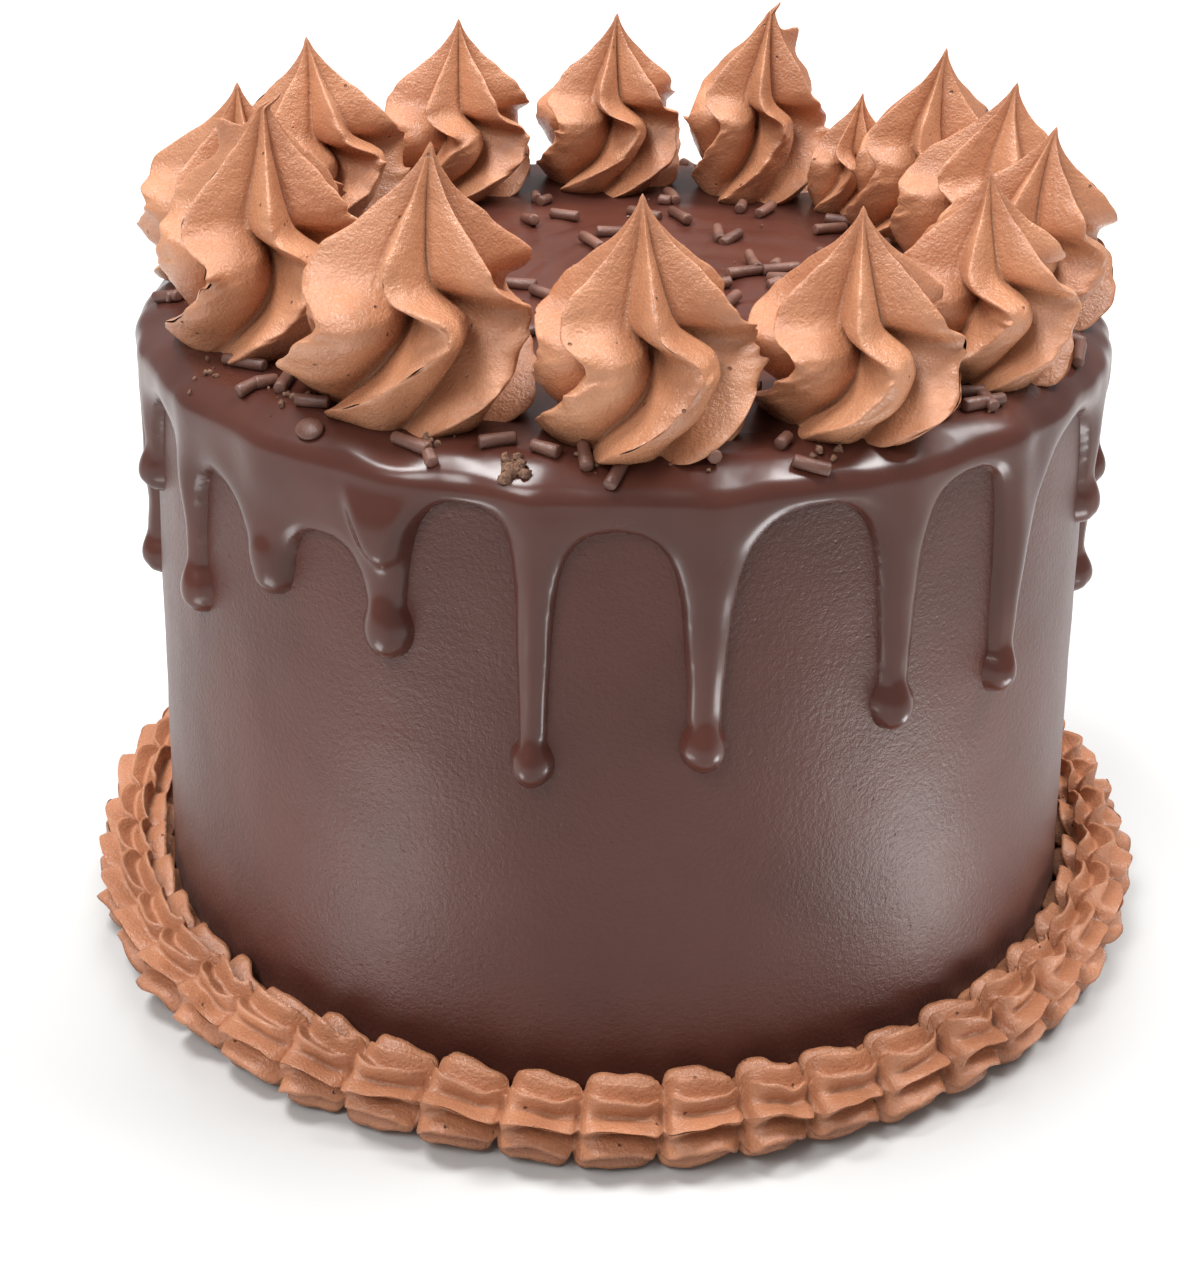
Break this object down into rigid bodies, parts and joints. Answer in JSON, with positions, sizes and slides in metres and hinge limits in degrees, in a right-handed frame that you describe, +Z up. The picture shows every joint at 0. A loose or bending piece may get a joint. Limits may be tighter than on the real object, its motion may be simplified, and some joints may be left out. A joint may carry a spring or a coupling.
{
  "type": "chocolate drip cake",
  "caption": "Round frosted chocolate cake with a poured ganache top and drips, piped star swirls round the rim, a piped shell border at the foot and sprinkles.",
  "frame": {"origin": "centre of the flat underside of the cake", "axes": "+Z up; the pictured side faces -Y, with +X to the viewer's right"},
  "size_m": [0.1872, 0.1868, 0.1443],
  "materials": {
    "frosting": "satin chocolate buttercream, smoothed, with a fine grain",
    "ganache": "glossy set dark chocolate ganache",
    "border_piping": "satin piped chocolate buttercream",
    "swirl_piping": "satin piped milk chocolate buttercream",
    "sprinkle": "waxy dark chocolate"
  },
  "bodies": {
    "root": {"cake_body": "frosting", "ganache": "ganache", "base_border": "border_piping", "swirl_01": "swirl_piping", "swirl_02": "swirl_piping", "swirl_03": "swirl_piping", "swirl_04": "swirl_piping", "swirl_05": "swirl_piping", "swirl_06": "swirl_piping", "swirl_07": "swirl_piping", "swirl_08": "swirl_piping", "swirl_09": "swirl_piping", "swirl_10": "swirl_piping", "swirl_11": "swirl_piping", "swirl_12": "swirl_piping", "swirl_13": "swirl_piping", "swirl_14": "swirl_piping"}
  },
  "joints": []
}
